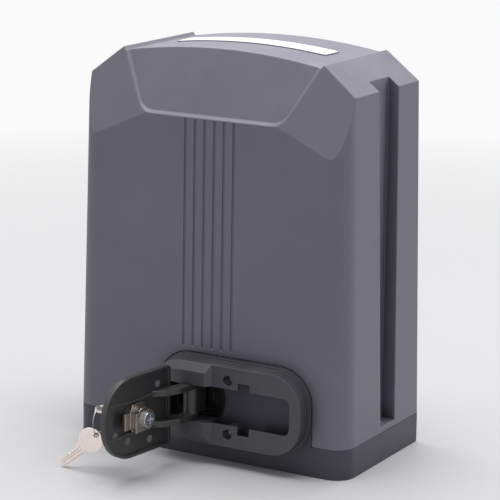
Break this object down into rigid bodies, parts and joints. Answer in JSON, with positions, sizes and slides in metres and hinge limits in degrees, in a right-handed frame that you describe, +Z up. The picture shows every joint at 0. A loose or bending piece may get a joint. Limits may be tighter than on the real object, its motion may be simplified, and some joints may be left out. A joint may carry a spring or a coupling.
{
  "type": "sliding gate motor",
  "caption": "Sliding gate motor: cast base, moulded cover with side channels, hinged release lever with key lock, worm gearmotor and rear rack pinion.",
  "frame": {"origin": "middle of the base's underside", "axes": "+X along the front with the lever's free end on its right when closed, +Y from the front to the pinion, +Z up"},
  "size_m": [0.27, 0.2977, 0.3524],
  "materials": {
    "cover_plastic": "fine textured moulding",
    "base_paint": "painted die casting",
    "frame_plastic": "satin moulding",
    "lever_plastic": "satin moulding",
    "strip_face": "bare printed foil",
    "zinc_steel": "zinc plated",
    "lock_nickel": "dull nickel",
    "key_metal": "nickel plated brass",
    "gear_steel": "machined",
    "bearing_steel": "ground",
    "black_steel": "blackened",
    "bronze": "cast bronze",
    "seal_rubber": "moulded",
    "motor_aluminium": "cast",
    "winding_copper": "enamelled copper",
    "circuit_board": "coated laminate",
    "electric_plastic": "moulded",
    "capacitor_shell": "moulded"
  },
  "bodies": {
    "housing": {"base_housing": "base_paint", "board_posts": "zinc_steel", "board_tray": "zinc_steel", "capacitor": "capacitor_shell", "capacitor_clip": "zinc_steel", "clutch_sleeve": "black_steel", "control_board": "circuit_board", "cover": "cover_plastic", "cover_screws": "zinc_steel", "frame_screws": "zinc_steel", "front_bearing": "bearing_steel", "gearcase_lid": "motor_aluminium", "gearcase_screws": "zinc_steel", "hinge_pin": "gear_steel", "lower_motor_shield": "motor_aluminium", "lower_rotor_bearing": "bearing_steel", "middle_rotor_bearing": "bearing_steel", "motor_can": "motor_aluminium", "name_strip": "strip_face", "rear_bearing": "bearing_steel", "relays": "electric_plastic", "release_frame": "frame_plastic", "shaft_seal": "seal_rubber", "stator_core": "gear_steel", "stator_windings": "winding_copper", "terminal_blocks": "electric_plastic", "transformer": "gear_steel", "upper_motor_shield": "motor_aluminium", "upper_rotor_bearing": "bearing_steel"},
    "lever": {"release_lever": "lever_plastic", "lock_body": "lock_nickel", "lock_nut": "lock_nickel"},
    "plug": {"lock_plug": "lock_nickel", "lock_cam": "lock_nickel", "cam_screw": "zinc_steel"},
    "key_in_lock": {"key": "key_metal"},
    "ring": {"key_ring": "lock_nickel"},
    "spare": {"spare_key": "key_metal"},
    "pusher": {"release_pusher": "black_steel"},
    "output": {"output_shaft": "gear_steel", "shaft_key": "gear_steel", "pinion": "gear_steel", "pinion_washer": "zinc_steel", "pinion_bolt": "zinc_steel"},
    "clutch": {"clutch_dog": "gear_steel", "push_rod": "gear_steel", "cross_pin": "gear_steel"},
    "wheel": {"worm_wheel": "bronze"},
    "rotor": {"rotor_shaft": "gear_steel", "worm": "gear_steel", "rotor_core": "gear_steel"}
  },
  "joints": [
    {"name": "lever_turn", "type": "hinge", "parent": "housing", "child": "lever", "pos_m": [-0.0075, -0.082, 0.0533], "axis": [0, 0, 1], "range_deg": [0, 98]},
    {"name": "plug_turn", "type": "hinge", "parent": "lever", "child": "plug", "pos_m": [-0.02085, -0.14829, 0.0533], "axis": [-0.9903, 0.1392, 0], "range_deg": [0, 90]},
    {"name": "key_slide", "type": "slide", "parent": "plug", "child": "key_in_lock", "axis": [-0.9903, 0.1392, 0], "range_m": [0, 0.03]},
    {"name": "ring_swing", "type": "hinge", "parent": "key_in_lock", "child": "ring", "pos_m": [-0.05849, -0.143, 0.0533], "axis": [0, 0, 1], "range_deg": [-25, 8]},
    {"name": "spare_swing", "type": "hinge", "parent": "ring", "child": "spare", "pos_m": [-0.0575, -0.1496, 0.0438], "axis": [0.9893, 0.146, 0], "range_deg": [-45, 0]},
    {"name": "pusher_slide", "type": "slide", "parent": "housing", "child": "pusher", "axis": [0, 1, 0], "range_m": [-0.0045, 0]},
    {"name": "output_turn", "type": "hinge", "parent": "housing", "child": "output", "pos_m": [-0.005, 0.02, 0.0533], "axis": [0, 1, 0], "continuous": true},
    {"name": "clutch_slide", "type": "slide", "parent": "output", "child": "clutch", "axis": [0, 1, 0], "range_m": [-0.0045, 0]},
    {"name": "rotor_turn", "type": "hinge", "parent": "housing", "child": "rotor", "pos_m": [-0.0545, 0.008, 0.0533], "axis": [0, 0, 1], "continuous": true},
    {"name": "wheel_turn", "type": "hinge", "parent": "housing", "child": "wheel", "pos_m": [-0.005, 0.008, 0.0533], "axis": [0, 1, 0], "continuous": true}
  ],
  "couplings": [
    {"joint": "pusher_slide", "follows": "lever_turn", "m_per_rad": -0.00263},
    {"joint": "clutch_slide", "follows": "lever_turn", "m_per_rad": -0.00263},
    {"joint": "wheel_turn", "follows": "rotor_turn", "ratio": -0.033333}
  ]
}
